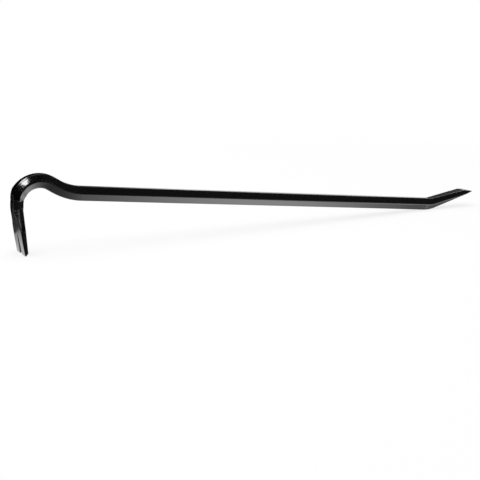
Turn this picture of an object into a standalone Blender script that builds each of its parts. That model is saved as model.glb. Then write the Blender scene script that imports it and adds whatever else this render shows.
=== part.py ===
"""Gooseneck wrecking bar, drop forged from one length of hexagonal steel bar and lacquered black.

Units are metres and +Z is up. The bar stands as it does on a floor: on the tips of its nail claw
and on the heel of its chisel end. Its plane of symmetry is the XZ plane, the claw is at -X and the
chisel at +X. The forging is modelled zone by zone along its centre line, with a hairline seam
between one zone and the next: chisel blade, heel bend, hexagonal shaft, gooseneck bend, nail claw.

The centre line is walked from the cutting edge of the chisel to the tips of the claw. A section is
a six-cornered outline with rounded corners, so the plain bar, the wedge of the chisel, the D-shaped
root of the claw and the thin claw plate are one family of sections lofted into each other.
"""

import math
from typing import NamedTuple

import bmesh
import bpy
from mathutils import Matrix, Vector

# The bar stock
ACROSS_FLATS = 0.018
EDGE_ROUNDING = 0.001
SHAFT_LENGTH = 0.5715
SEAM = 0.0003

# The gooseneck: the neck bend lifts the bar, the hook bend carries it over and down
NECK_RADIUS = 0.079
NECK_ANGLE = math.radians(27.4)
NECK_STRAIGHT = 0.0066
HOOK_RADIUS = 0.0282
HOOK_ANGLE = math.radians(126.7)

# The nail claw, with lengths measured from the end of the hook bend
CLAW_LENGTH = 0.062
CLAW_CURL = math.radians(3.6)
CLAW_WIDTH = 0.037
DRAWN_BEFORE_ROOT = 0.024
ROOT_THICKNESS = 0.0126
ROOT_WIDTH = 0.0184
SHOULDER_AT = 0.002
SHOULDER_THICKNESS = 0.0124
PLATE_AT = 0.0295
PLATE_THICKNESS = 0.0067
TIP_THICKNESS = 0.0048
CLAW_SIDE_HEIGHT = 0.0041
TIP_BEVEL_LENGTH = 0.0028
TIP_EDGE = 0.0018

# The forging step before the root, where the hexagon's side corners are pressed into flat side walls.
# Heights are those of the side corner above the centre line.
STEP_BEFORE_ROOT = 0.0103
STEP_LENGTH = 0.0032
CORNER_BEFORE_STEP = -0.0009
CORNER_AFTER_STEP = 0.0008
CORNER_AT_ROOT = -0.0002

# The nail slot, a V with a round root, countersunk on the inner face for nail heads
SLOT_LENGTH = 0.026
SLOT_MOUTH = 0.0076
SLOT_ROOT_WIDTH = 0.0028
SLOT_COUNTERSINK = 0.0016
COUNTERSINK_DEPTH = 0.0022

# The chisel end, with lengths measured from the end of the heel bend
HEEL_RADIUS = 0.027
HEEL_ANGLE = math.radians(18.0)
BLADE_LENGTH = 0.0678
BLADE_END_THICKNESS = 0.00655
BLADE_TOP_WIDTH = 0.0162
BLADE_WIDTH = 0.0266
BEVEL_LENGTH = 0.0118
BEVEL_EDGE = 0.0011
EDGE_LIFT = 0.0012

# Smallest land kept beside a corner that runs out into another one
RUN_OUT_LAND = 0.0008

# How finely the forging is drawn
BEND_STEP = math.radians(3.6)
LONGEST_STEP = 0.012
FORGING_STEP_RINGS = 6
CORNER_STEPS = 3
LONGEST_SETBACK = 0.4
SLOT_ROOT_STEPS = 8
SHARP_ANGLE = math.radians(24.0)

# The search for the tilt at which the bar stands
STEEPEST_TILT = math.radians(30.0)
TILT_HALVINGS = 40

HEX_FLAT = ACROSS_FLATS / math.sqrt(3.0)
HEX_CORNERS = 2.0 * HEX_FLAT


class Section(NamedTuple):
    """The outline of the bar at one place, as distances from its centre line."""

    top: float
    side: float
    bottom: float
    top_width: float
    side_width: float
    bottom_width: float


class Station(NamedTuple):
    """A place on the centre line: its point in the XZ plane and the heading there."""

    x: float
    z: float
    heading: float


# Runs of the centre line from the cutting edge to the claw tips, each a length and its turn
RUNS = (
    (BEVEL_LENGTH + BLADE_LENGTH, 0.0),
    (HEEL_RADIUS * HEEL_ANGLE, -HEEL_ANGLE),
    (SHAFT_LENGTH, 0.0),
    (NECK_RADIUS * NECK_ANGLE, -NECK_ANGLE),
    (NECK_STRAIGHT, 0.0),
    (HOOK_RADIUS * HOOK_ANGLE, HOOK_ANGLE),
    (CLAW_LENGTH, CLAW_CURL),
)

# Distances along the centre line at which the runs end
BLADE_END = BEVEL_LENGTH + BLADE_LENGTH
HEEL_END = BLADE_END + HEEL_RADIUS * HEEL_ANGLE
SHAFT_END = HEEL_END + SHAFT_LENGTH
NECK_END = SHAFT_END + NECK_RADIUS * NECK_ANGLE
HOOK_START = NECK_END + NECK_STRAIGHT
ROOT = HOOK_START + HOOK_RADIUS * HOOK_ANGLE
TIP = ROOT + CLAW_LENGTH

# Distances along the centre line at which the section changes its course
DRAW_START = ROOT - DRAWN_BEFORE_ROOT
STEP_START = ROOT - STEP_BEFORE_ROOT
STEP_END = STEP_START + STEP_LENGTH
SHOULDER = ROOT + SHOULDER_AT
PLATE = ROOT + PLATE_AT
BEVEL_START = TIP - TIP_BEVEL_LENGTH
SECTION_CHANGES = (
    BEVEL_LENGTH,
    DRAW_START,
    *(STEP_START + STEP_LENGTH * ring / FORGING_STEP_RINGS for ring in range(FORGING_STEP_RINGS + 1)),
    ROOT,
    SHOULDER,
    PLATE,
    BEVEL_START,
)


class Zone(NamedTuple):
    """A zone of the forging: its stretch of the centre line and the look of its lacquer."""

    name: str
    start: float
    end: float
    lacquer: str
    shade: float
    roughness: float


ZONES = (
    Zone("chisel_blade", 0.0, BLADE_END - SEAM, "blade_lacquer", 0.014, 0.24),
    Zone("heel_bend", BLADE_END, HEEL_END - SEAM, "heel_lacquer", 0.012, 0.24),
    Zone("hex_shaft", HEEL_END, SHAFT_END - SEAM, "shaft_lacquer", 0.010, 0.20),
    Zone("gooseneck_bend", SHAFT_END, ROOT - SEAM, "gooseneck_lacquer", 0.010, 0.20),
    Zone("nail_claw", ROOT, TIP, "claw_lacquer", 0.014, 0.26),
)
LACQUER_COAT = 0.6


def ramp(distance, *points):
    """Straight interpolation between (distance, value) points, level beyond the first and the last."""
    if distance <= points[0][0]:
        return points[0][1]
    for (start, low), (end, high) in zip(points, points[1:]):
        if distance <= end:
            return low + (high - low) * (distance - start) / (end - start)
    return points[-1][1]


def blend(start, end, share):
    return start + (end - start) * share


def eased(share):
    """A share from 0 to 1 that leaves and arrives level."""
    return share * share * (3.0 - 2.0 * share)


def station_at(distance):
    """The point and heading at a distance along the centre line; the shaft runs along -X."""
    x, z, heading = 0.0, 0.0, math.pi + HEEL_ANGLE
    left = distance
    for length, turn in RUNS:
        part = min(left, length)
        bend = turn * part / length
        chord = part if turn == 0.0 else 2.0 * length / turn * math.sin(bend / 2.0)
        x += chord * math.cos(heading + bend / 2.0)
        z += chord * math.sin(heading + bend / 2.0)
        heading += bend
        left -= part
        if left <= 0.0:
            break
    return Station(x, z, heading)


def chisel_section(distance):
    """The wedge of the chisel end: the side corners sink to the underside as the bar thins."""
    run = (BEVEL_LENGTH, HEEL_END)
    thickness = ramp(distance, (run[0], BLADE_END_THICKNESS), (run[1], ACROSS_FLATS))
    side_width = ramp(distance, (run[0], BLADE_WIDTH), (run[1], HEX_CORNERS))
    drop = ramp(distance, (run[0], thickness / 2.0 - RUN_OUT_LAND), (run[1], 0.0))
    top = thickness / 2.0
    top_width = ramp(distance, (run[0], BLADE_TOP_WIDTH), (run[1], HEX_FLAT))
    bottom_width = ramp(distance, (run[0], BLADE_WIDTH - RUN_OUT_LAND), (run[1], HEX_FLAT))
    bottom = thickness / 2.0
    side = -drop
    if distance < BEVEL_LENGTH:
        low = BLADE_END_THICKNESS / 2.0 - EDGE_LIFT
        high = BEVEL_EDGE - low
        top = ramp(distance, (0.0, high), (BEVEL_LENGTH, top))
        bottom = ramp(distance, (0.0, low), (BEVEL_LENGTH, bottom))
        side = ramp(distance, (0.0, high - BEVEL_EDGE / 2.0), (BEVEL_LENGTH, side))
        top_width = ramp(distance, (0.0, BLADE_WIDTH - RUN_OUT_LAND), (BEVEL_LENGTH, top_width))
    return Section(top, side, bottom, top_width, side_width, bottom_width)


def hook_section(distance):
    """The plain bar from the shaft into the hook, then the claw drawn out of it.

    Pressed thinner, the hexagon keeps the planes of its slanted facets, so its two flats widen. Past
    the step it has flat side walls, and past the shoulder it flares to the full width of the plate.
    """
    thickness = ramp(
        distance,
        (DRAW_START, ACROSS_FLATS),
        (ROOT, ROOT_THICKNESS),
        (SHOULDER, SHOULDER_THICKNESS),
        (PLATE, PLATE_THICKNESS),
        (TIP, TIP_THICKNESS),
    )
    half = thickness / 2.0
    step = eased(ramp(distance, (STEP_START, 0.0), (STEP_END, 1.0)))
    flare = ramp(distance, (SHOULDER, 0.0), (PLATE, 1.0))

    side_width = blend(blend(HEX_CORNERS, ROOT_WIDTH, step), CLAW_WIDTH, flare)
    pressed_flat = HEX_CORNERS - thickness / math.sqrt(3.0)
    top_width = blend(pressed_flat, CLAW_WIDTH - RUN_OUT_LAND, flare)

    hex_corner = ramp(distance, (DRAW_START, 0.0), (STEP_START, CORNER_BEFORE_STEP))
    wall_corner = ramp(
        distance,
        (STEP_END, CORNER_AFTER_STEP),
        (ROOT, CORNER_AT_ROOT),
        (PLATE, CLAW_SIDE_HEIGHT - PLATE_THICKNESS / 2.0),
        (TIP, CLAW_SIDE_HEIGHT - TIP_THICKNESS / 2.0),
    )
    side = min(blend(hex_corner, wall_corner, step), half - RUN_OUT_LAND)
    hex_inner_flat = HEX_CORNERS - 2.0 * (half + hex_corner) / math.sqrt(3.0)
    inner_width = blend(hex_inner_flat, side_width - RUN_OUT_LAND, step)
    bottom = ramp(distance, (BEVEL_START, half), (TIP, TIP_EDGE - half))
    side = max(side, RUN_OUT_LAND / 2.0 - bottom)
    return Section(half, side, bottom, top_width, side_width, inner_width)


def section_at(distance):
    return chisel_section(distance) if distance < HEEL_END else hook_section(distance)


def rounded(corners):
    """The outline with each corner replaced by a small curve that leaves and meets the two edges."""
    outline = []
    count = len(corners)
    for index, corner in enumerate(corners):
        to_last = corners[index - 1] - corner
        to_next = corners[(index + 1) % count] - corner
        setback = min(EDGE_ROUNDING, LONGEST_SETBACK * min(to_last.length, to_next.length))
        start = corner + to_last.normalized() * setback
        end = corner + to_next.normalized() * setback
        for step in range(CORNER_STEPS + 1):
            share = step / CORNER_STEPS
            outline.append(
                start * (1.0 - share) ** 2 + corner * 2.0 * share * (1.0 - share) + end * share**2
            )
    return outline


def ring_at(distance):
    """The outline of the bar at a distance, as points in space."""
    place = station_at(distance)
    cut = section_at(distance)
    outline = rounded(
        [
            Vector((-cut.top_width / 2.0, cut.top)),
            Vector((-cut.side_width / 2.0, cut.side)),
            Vector((-cut.bottom_width / 2.0, -cut.bottom)),
            Vector((cut.bottom_width / 2.0, -cut.bottom)),
            Vector((cut.side_width / 2.0, cut.side)),
            Vector((cut.top_width / 2.0, cut.top)),
        ]
    )
    out = Vector((math.sin(place.heading), 0.0, -math.cos(place.heading)))
    centre = Vector((place.x, 0.0, place.z))
    return [centre + out * height + Vector((0.0, across, 0.0)) for across, height in outline]


def distances_between(start, end):
    """Where a zone gets a section: at its ends, wherever a law changes, and often enough in bends."""
    marks = [start, end]
    marks += [mark for mark in SECTION_CHANGES if start < mark < end]
    run_start = 0.0
    for length, turn in RUNS:
        run_end = run_start + length
        steps = 1
        if turn != 0.0:
            steps = math.ceil(max(abs(turn) / BEND_STEP, length / LONGEST_STEP))
        marks += [
            run_start + length * step / steps
            for step in range(steps + 1)
            if start < run_start + length * step / steps < end
        ]
        run_start = run_end
    marks.sort()
    kept = [marks[0]]
    for mark in marks[1:-1]:
        if mark - kept[-1] > SEAM and marks[-1] - mark > SEAM:
            kept.append(mark)
    return [*kept, marks[-1]]


def frame_at(distance):
    """The matrix that carries a piece's own axes to the centre line, with its Z pointing outwards."""
    place = station_at(distance)
    turn = Matrix.Rotation(math.pi - place.heading, 4, "Y")
    return Matrix.Translation((place.x, 0.0, place.z)) @ turn


def mesh_from_rings(name, rings, to_local):
    """A closed loft through rings of the same count, with a flat face over each end."""
    shape = bmesh.new()
    loops = [[shape.verts.new(to_local @ point) for point in ring] for ring in rings]
    count = len(loops[0])
    for near, far in zip(loops, loops[1:]):
        for index in range(count):
            after = (index + 1) % count
            shape.faces.new((near[index], near[after], far[after], far[index]))
    shape.faces.new(loops[0])
    shape.faces.new(loops[-1])
    bmesh.ops.recalc_face_normals(shape, faces=shape.faces)
    mesh = bpy.data.meshes.new(name)
    shape.to_mesh(mesh)
    shape.free()
    return mesh


def lacquer(name, shade, roughness):
    """Glossy black lacquer over forged steel, a touch lighter where the forging is drawn out thin."""
    material = bpy.data.materials.new(name)
    material.use_nodes = True
    surface = material.node_tree.nodes["Principled BSDF"]
    surface.inputs["Base Color"].default_value = (shade, shade, shade, 1.0)
    surface.inputs["Roughness"].default_value = roughness
    surface.inputs["Metallic"].default_value = 0.0
    surface.inputs["Coat Weight"].default_value = LACQUER_COAT
    return material


def place_piece(name, mesh, frame, collection, parent):
    piece = bpy.data.objects.new(name, mesh)
    collection.objects.link(piece)
    piece.parent = parent
    piece.location = frame.to_translation()
    piece.rotation_euler = frame.to_euler()
    return piece


def add_zone(zone, parts, parent):
    """One zone of the forging, from one seam to the next, with its origin at its first seam."""
    name, start, end = zone.name, zone.start, zone.end
    first = frame_at(start)
    rings = [ring_at(distance) for distance in distances_between(start, end)]
    mesh = mesh_from_rings(name, rings, first.inverted())
    mesh.shade_smooth()
    mesh.set_sharp_from_angle(angle=SHARP_ANGLE)
    mesh.materials.append(lacquer(zone.lacquer, zone.shade, zone.roughness))
    return place_piece(name, mesh, first, parts, parent)


def slot_outline(grown):
    """The V of the nail slot seen on the claw's face, grown outwards by a little, as (along, across).

    Along is measured from the claw tips back towards the hook. The V ends in a half round root.
    """
    radius = SLOT_ROOT_WIDTH / 2.0 + grown
    root_at = SLOT_LENGTH - SLOT_ROOT_WIDTH / 2.0
    slope = math.atan((SLOT_MOUTH - SLOT_ROOT_WIDTH) / 2.0 / root_at)
    past_tip = SLOT_MOUTH
    points = []
    for step in range(SLOT_ROOT_STEPS + 1):
        angle = -(math.pi / 2.0 + slope) + (math.pi + 2.0 * slope) * step / SLOT_ROOT_STEPS
        points.append((root_at + radius * math.cos(angle), radius * math.sin(angle)))
    mouth = points[-1][1] + (points[-1][0] + past_tip) * math.tan(slope)
    return [(-past_tip, -mouth), *points, (-past_tip, mouth)]


def slot_cutter(name, layers, cutters, parent):
    """A cutter lofted through copies of the slot's outline, each (depth, growth), in the claw's own frame."""
    frame = frame_at(TIP)
    rings = [
        [Vector((along, across, depth)) for along, across in slot_outline(grown)]
        for depth, grown in layers
    ]
    mesh = mesh_from_rings(name, rings, Matrix.Identity(4))
    cutter = place_piece(name, mesh, frame, cutters, parent)
    cutter.hide_render = True
    cutter.display_type = "WIRE"
    return cutter


def cut(piece, cutter):
    difference = piece.modifiers.new(cutter.name, "BOOLEAN")
    difference.operation = "DIFFERENCE"
    difference.solver = "EXACT"
    difference.object = cutter


def cut_nail_slot(claw, cutters, parent):
    """The slot goes straight through; its countersink opens towards the inner face."""
    through = slot_cutter(
        "nail_slot_cut",
        ((-ACROSS_FLATS, 0.0), (ACROSS_FLATS, 0.0)),
        cutters,
        parent,
    )
    inner_face = -PLATE_THICKNESS / 2.0
    slope = SLOT_COUNTERSINK / COUNTERSINK_DEPTH
    above = inner_face + COUNTERSINK_DEPTH
    below = inner_face - COUNTERSINK_DEPTH
    countersink = slot_cutter(
        "nail_slot_countersink",
        ((below, slope * (above - below)), (above, 0.0)),
        cutters,
        parent,
    )
    cut(claw, through)
    cut(claw, countersink)


def standing_pose():
    """The tilt and shift that set the claw tips and the heel on the floor, centred over the origin."""
    claw = [point for mark in distances_between(ROOT, TIP) for point in ring_at(mark)]
    heel = [point for mark in distances_between(0.0, SHAFT_END) for point in ring_at(mark)]

    def height(points, tilt):
        return min(point.z * math.cos(tilt) - point.x * math.sin(tilt) for point in points)

    low, high = -STEEPEST_TILT, STEEPEST_TILT
    for _ in range(TILT_HALVINGS):
        tilt = (low + high) / 2.0
        if height(claw, tilt) < height(heel, tilt):
            low = tilt
        else:
            high = tilt
    everywhere = [point for mark in distances_between(0.0, TIP) for point in ring_at(mark)]
    along = [point.x * math.cos(tilt) + point.z * math.sin(tilt) for point in everywhere]
    middle = (min(along) + max(along)) / 2.0
    return tilt, Vector((-middle, 0.0, -height(claw, tilt)))


def clear_scene():
    for old in list(bpy.data.objects):
        bpy.data.objects.remove(old, do_unlink=True)


def new_collection(name):
    collection = bpy.data.collections.new(name)
    bpy.context.scene.collection.children.link(collection)
    return collection


def main():
    clear_scene()
    parts = new_collection("crowbar")
    cutters = new_collection("cutters")
    cutters.hide_render = True
    stand = bpy.data.objects.new("crowbar_stand", None)
    parts.objects.link(stand)
    tilt, shift = standing_pose()
    stand.rotation_euler = (0.0, tilt, 0.0)
    stand.location = shift

    pieces = {zone.name: add_zone(zone, parts, stand) for zone in ZONES}
    cut_nail_slot(pieces["nail_claw"], cutters, stand)


if __name__ == "__main__":
    main()
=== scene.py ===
"""Gooseneck wrecking bar: the finished look of a drop forged hexagonal bar in glossy black lacquer.

Units are metres and +Z is up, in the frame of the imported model. The bar stands on the tips of its
nail claw and on the heel of its chisel end, with its plane of symmetry in the XZ plane.

The skin of the bar is worked out as whole arrays. Its centre line is a chain of straight runs and
arcs, and across it stands a six-cornered section whose corners move with the distance from the
cutting edge. Every zone of the forging is one closed skin, and neighbours share their border ring.
"""

import logging
import math
from dataclasses import dataclass, field
from enum import Enum
from typing import Any, Callable, Self

import bpy
import numpy as np
from mathutils import Matrix, Vector


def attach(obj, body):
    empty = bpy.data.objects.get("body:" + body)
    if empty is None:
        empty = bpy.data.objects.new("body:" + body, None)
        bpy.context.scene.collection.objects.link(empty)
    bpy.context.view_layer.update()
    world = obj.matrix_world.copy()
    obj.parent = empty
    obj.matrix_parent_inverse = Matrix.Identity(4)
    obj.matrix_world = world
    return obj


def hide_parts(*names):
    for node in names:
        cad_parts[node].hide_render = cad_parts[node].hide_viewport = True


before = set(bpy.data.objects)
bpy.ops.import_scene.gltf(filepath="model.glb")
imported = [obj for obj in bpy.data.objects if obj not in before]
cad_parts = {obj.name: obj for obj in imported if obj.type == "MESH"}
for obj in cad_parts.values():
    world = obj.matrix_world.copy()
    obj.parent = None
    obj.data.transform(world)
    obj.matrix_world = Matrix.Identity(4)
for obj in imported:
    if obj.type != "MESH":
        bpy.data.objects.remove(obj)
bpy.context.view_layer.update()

Array = np.ndarray
Pair = tuple[float, float]
Triple = tuple[float, float, float]
Colour = tuple[float, float, float, float]
Inputs = dict[str | int, Any]
LOG = logging.getLogger("wrecking_bar")

# The least length that a vector is divided by, how near the middle plane a point counts as on it,
# and how far the nearness of a ridge reaches, over the ridge's rounding.
SHORTEST = 1e-12
ON_MIDDLE = 1e-9
RIDGE_REACH = 0.9


def smooth(share: Array) -> Array:
    """Returns shares from 0 to 1 eased so that they leave and arrive level: x squared times (3 - 2x)."""
    share = np.clip(share, 0.0, 1.0)
    return share * share * (3.0 - 2.0 * share)


def clustered(count: int) -> Array:
    """Returns count shares from 0, closer near both ends: half of one minus a half turn's cosine."""
    return 0.5 - 0.5 * np.cos(np.pi * np.arange(count) / count)


def law(distance: Array, *points: Pair) -> Array:
    """Returns a value at each distance, straight between pairs of a place and its value, level beyond."""
    places, values = zip(*points)
    return np.interp(distance, places, values)


# ---- The forging's centre line and section ----


@dataclass(frozen=True)
class BarForm:
    """The measures of the forging, and the laws that its centre line and section follow."""

    # The hexagonal stock, and how far from a ridge its rounding starts.
    across_flats: float = 0.0185
    edge_rounding: float = 0.001
    hook_rounding: float = 0.0027
    step_rounding: float = 0.0009
    tip_rounding: float = 0.0009
    soft_after_bend: float = 0.02
    soft_before_root: float = 0.024
    crisp_before_root: float = 0.014
    soft_past_root: Pair = (0.004, 0.007)
    crisp_past_root: float = 0.022
    longest_setback: float = 0.4

    # The shaft, the neck bend and the hook, which is flatter over its crest.
    shaft_length: float = 0.56928
    neck_radius: float = 0.07802
    neck_angle: float = math.radians(27.12)
    neck_straight: float = 0.00606
    crest_radius: float = 0.02967
    crest_angle: float = math.radians(78.48)
    hook_radius: float = 0.02571
    hook_angle: float = math.radians(47.8)
    hook_straight: float = 0.00256

    # The claw: its thickness and width, from where it is pressed thinner to its tips.
    claw_length: float = 0.06074
    claw_curl: float = math.radians(3.57)
    claw_width: float = 0.03702
    drawn_before_root: float = 0.01892
    root_thickness: float = 0.01276
    root_width: float = 0.0184
    shoulder_at: float = 0.00215
    shoulder_thickness: float = 0.01325
    pressed_before_root: float = 0.0073
    web_at: float = 0.01984
    web_thickness: float = 0.00837
    plate_at: float = 0.0297
    plate_thickness: float = 0.00683
    tip_thickness: float = 0.0048
    claw_side_height: float = 0.0041
    tip_bevel_length: float = 0.0028
    tip_edge: float = 0.0018

    # How far the claw's middle plane sways off the centre line about its root.
    sway_at_step: float = 0.00054
    crown_at: float = 0.00465
    sway_at_crown: float = -0.00049
    even_at: float = 0.0145

    # The forging step, where the hexagon's slanted facets end against flat side walls.
    step_before_root: float = 0.0091
    step_length: float = 0.0018
    corner_before_step: float = -0.0009
    corner_after_step: float = 0.0008
    corner_at_root: float = -0.0002

    # The heel bend and the chisel blade.
    heel_radius: float = 0.055
    heel_angle: float = math.radians(18.41)
    blade_length: float = 0.0608
    blade_end_thickness: float = 0.00655
    blade_top_width: float = 0.0162
    blade_width: float = 0.0266
    bevel_length: float = 0.0118
    bevel_edge: float = 0.0011
    edge_lift: float = 0.0012
    run_out_land: float = 0.0008

    # How the bar stands on its tips and its heel.
    stand_tilt: float = math.radians(6.22265)
    stand_shift: Pair = (0.372472, 0.0255011)

    @property
    def hex_flat(self) -> float:
        """Width of one facet of the hexagon."""
        return self.across_flats / math.sqrt(3.0)

    @property
    def hex_corners(self) -> float:
        """Width of the hexagon across its corners."""
        return 2.0 * self.hex_flat

    @property
    def runs(self) -> tuple[Pair, ...]:
        """Runs of the centre line from the cutting edge to the claw tips, each a length and its turn."""
        return (
            (self.bevel_length + self.blade_length, 0.0),
            (self.heel_radius * self.heel_angle, -self.heel_angle),
            (self.shaft_length, 0.0),
            (self.neck_radius * self.neck_angle, -self.neck_angle),
            (self.neck_straight, 0.0),
            (self.crest_radius * self.crest_angle, self.crest_angle),
            (self.hook_radius * self.hook_angle, self.hook_angle),
            (self.hook_straight, 0.0),
            (self.claw_length, self.claw_curl),
        )

    @property
    def marks(self) -> list[float]:
        """Distances at which the runs end, from the blade to the claw."""
        return np.cumsum([length for length, _ in self.runs]).tolist()

    @property
    def root(self) -> float:
        """Distance of the claw's root, where the hook bend ends."""
        return self.marks[-2]

    @property
    def tip(self) -> float:
        """Distance of the claw's tips."""
        return self.marks[-1]

    def rounding(self, s: Array) -> Array:
        """How far from a ridge its rounding starts: more in the hook, but less about the step.

        Args:
            s: Distances from the cutting edge.

        Returns:
            The setback at each distance.
        """
        bend, root = self.marks[3], self.root
        soft, crisp = self.hook_rounding, self.step_rounding
        soft_from, soft_to = self.soft_past_root
        return law(
            s,
            (bend, self.edge_rounding),
            (bend + self.soft_after_bend, soft),
            (root - self.soft_before_root, soft),
            (root - self.crisp_before_root, crisp),
            (root, crisp),
            (root + soft_from, soft),
            (root + soft_to, soft),
            (root + self.crisp_past_root, self.tip_rounding),
        )

    def centre(self, distance: Array) -> tuple[Array, Array]:
        """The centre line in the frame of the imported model.

        Each run adds its chord: a straight run its length, an arc twice its radius times the sine
        of half the turn, set at the mean of its two headings. The whole is then tilted and shifted.

        Args:
            distance: Distances from the cutting edge.

        Returns:
            Points, and unit vectors that point outwards from the bar's back, both with a last axis of 3.
        """
        x = np.zeros_like(distance)
        z = np.zeros_like(distance)
        heading = np.full_like(distance, math.pi + self.heel_angle)
        start = 0.0
        for length, turn in self.runs:
            part = np.clip(distance - start, 0.0, length)
            bend = turn * part / length
            chord = part if turn == 0.0 else 2.0 * length / turn * np.sin(bend / 2.0)
            x = x + chord * np.cos(heading + bend / 2.0)
            z = z + chord * np.sin(heading + bend / 2.0)
            heading = heading + bend
            start += length
        out = self.tilted(np.sin(heading), -np.cos(heading))
        place = self.tilted(x, z) + np.array((self.stand_shift[0], 0.0, self.stand_shift[1]))
        return place, out

    def tilted(self, x: Array, z: Array) -> Array:
        """Returns points of the XZ plane turned about Y by the tilt at which the bar stands."""
        cosine, sine = math.cos(self.stand_tilt), math.sin(self.stand_tilt)
        return np.stack((x * cosine + z * sine, np.zeros_like(x), z * cosine - x * sine), axis=-1)

    def chisel_corners(self, s: Array) -> tuple[Array, ...]:
        """The wedge of the chisel end: side corners sink to the underside as the bar thins.

        Args:
            s: Distances from the cutting edge.

        Returns:
            Top, side and bottom heights, then top, side and bottom widths.
        """
        start, end = self.bevel_length, self.marks[1]
        end_half, low_width = self.blade_end_thickness / 2.0, self.blade_width - self.run_out_land
        half = law(s, (start, self.blade_end_thickness), (end, self.across_flats)) / 2.0
        drop = law(s, (start, end_half - self.run_out_land), (end, 0.0))
        low = end_half - self.edge_lift
        high = self.bevel_edge - low
        bevel = s < start
        top = np.where(bevel, law(s, (0.0, high), (start, end_half)), half)
        bottom = np.where(bevel, law(s, (0.0, low), (start, end_half)), half)
        sunk = self.run_out_land - end_half
        side = np.where(bevel, law(s, (0.0, high - self.bevel_edge / 2.0), (start, sunk)), -drop)
        top_width = law(s, (0.0, low_width), (start, self.blade_top_width), (end, self.hex_flat))
        side_width = law(s, (start, self.blade_width), (end, self.hex_corners))
        bottom_width = law(s, (start, low_width), (end, self.hex_flat))
        return top, side, bottom, top_width, side_width, bottom_width

    def hook_corners(self, s: Array) -> tuple[Array, ...]:
        """The plain bar from the shaft into the hook, then the claw drawn out of it.

        Pressed thinner, the hexagon keeps the planes of its slanted facets, so its flats widen.
        Past the forging step it has flat side walls, and past the shoulder it flares to the plate.

        Args:
            s: Distances from the cutting edge.

        Returns:
            Top, side and bottom heights, then top, side and bottom widths.
        """
        root, tip = self.root, self.tip
        draw_start = root - self.drawn_before_root
        step_start = root - self.step_before_root
        shoulder, plate = root + self.shoulder_at, root + self.plate_at
        thickness = law(
            s,
            (draw_start, self.across_flats),
            (root - self.pressed_before_root, self.root_thickness),
            (shoulder, self.shoulder_thickness),
            (root + self.web_at, self.web_thickness),
            (plate, self.plate_thickness),
            (tip, self.tip_thickness),
        )
        step_end = step_start + self.step_length
        crown, even = root + self.crown_at, root + self.even_at
        swayed = (step_end, self.sway_at_step), (crown, self.sway_at_crown)
        sway = law(s, (draw_start, 0.0), *swayed, (even, 0.0))
        inner, outer = thickness / 2.0 + sway, thickness / 2.0 - sway
        step = law(s, (step_start, 0.0), (step_end, 1.0))
        flare = law(s, (shoulder, 0.0), (plate, 1.0))
        side_width = self.hex_corners + (self.root_width - self.hex_corners) * step
        side_width = side_width + (self.claw_width - side_width) * flare
        pressed = self.hex_corners - 2.0 * outer / math.sqrt(3.0)
        top_width = pressed + (self.claw_width - self.run_out_land - pressed) * flare
        hexagon = law(s, (draw_start, 0.0), (step_start, self.corner_before_step))
        wall = law(
            s,
            (step_end, self.corner_after_step),
            (root, self.corner_at_root),
            (plate, self.claw_side_height - self.plate_thickness / 2.0),
            (tip, self.claw_side_height - self.tip_thickness / 2.0),
        )
        side = np.minimum(hexagon + (wall - hexagon) * step, outer - self.run_out_land)
        inner_flat = self.hex_corners - 2.0 * (inner + hexagon) / math.sqrt(3.0)
        inner_width = inner_flat + (side_width - self.run_out_land - inner_flat) * step
        edge = self.tip_edge - self.tip_thickness / 2.0
        bevel_start = tip - self.tip_bevel_length
        before = law(np.array(bevel_start), (plate, self.plate_thickness), (tip, self.tip_thickness))
        bevel = law(s, (bevel_start, float(before) / 2.0), (tip, edge))
        bottom = np.where(s < bevel_start, inner, bevel)
        side = np.maximum(side, self.run_out_land / 2.0 - bottom)
        return outer, side, bottom, top_width, side_width, inner_width

    def corners(self, s: Array) -> Array:
        """The six corners of the section, from the top left one round by the underside.

        Args:
            s: Distances from the cutting edge, of any shape.

        Returns:
            Across and height of each corner, with two more axes, of 6 and 2.
        """
        chisel = s[..., None] < self.marks[1]
        parts = np.where(chisel, np.stack(self.chisel_corners(s), -1), np.stack(self.hook_corners(s), -1))
        top, side, bottom, top_width, side_width, bottom_width = np.moveaxis(parts, -1, 0)
        widths = np.stack((-top_width, -side_width, -bottom_width), -1)
        across = np.concatenate((widths, -widths[..., ::-1]), -1) / 2.0
        height = np.stack((top, side, -bottom, -bottom, side, top), -1)
        return np.stack((across, height), axis=-1)


FORM = BarForm()


def unit(vectors: Array) -> Array:
    """Returns the vectors of the last axis at length one."""
    return vectors / np.maximum(np.linalg.norm(vectors, axis=-1, keepdims=True), SHORTEST)


class Grid:
    """A record of arrays over one grid of points, which are cut and joined alike."""

    ridge: Array

    @classmethod
    def joined(cls, *grids: Self, axis: int = 0) -> Self:
        """Returns the grids one after another along an axis, as one."""
        arrays = zip(*(vars(grid).values() for grid in grids))
        return cls(*(np.concatenate(values, axis=axis) for values in arrays))

    def listed(self) -> Self:
        """Returns the grid as one list of points, row by row."""
        size, axes = self.ridge.size, self.ridge.ndim
        return type(self)(*(values.reshape(size, *values.shape[axes:]) for values in vars(self).values()))

    def __getitem__(self, index: Any) -> Self:
        """Returns the part of the grid that an index of numpy names."""
        return type(self)(*(values[index] for values in vars(self).values()))


@dataclass(frozen=True)
class Path(Grid):
    """Rings round the bar, with one row for each.

    Each point has its distance s from the cutting edge, its place in the plane across the bar,
    the way outwards in that plane, and how near it is to a ridge.
    """

    s: Array
    points: Array
    normals: Array
    ridge: Array

    def mirrored(self) -> "Path":
        """Returns the path on the other side of the bar's plane of symmetry."""
        turned = np.array((-1.0, 1.0))
        return Path(self.s, self.points * turned, self.normals * turned, self.ridge)


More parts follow.
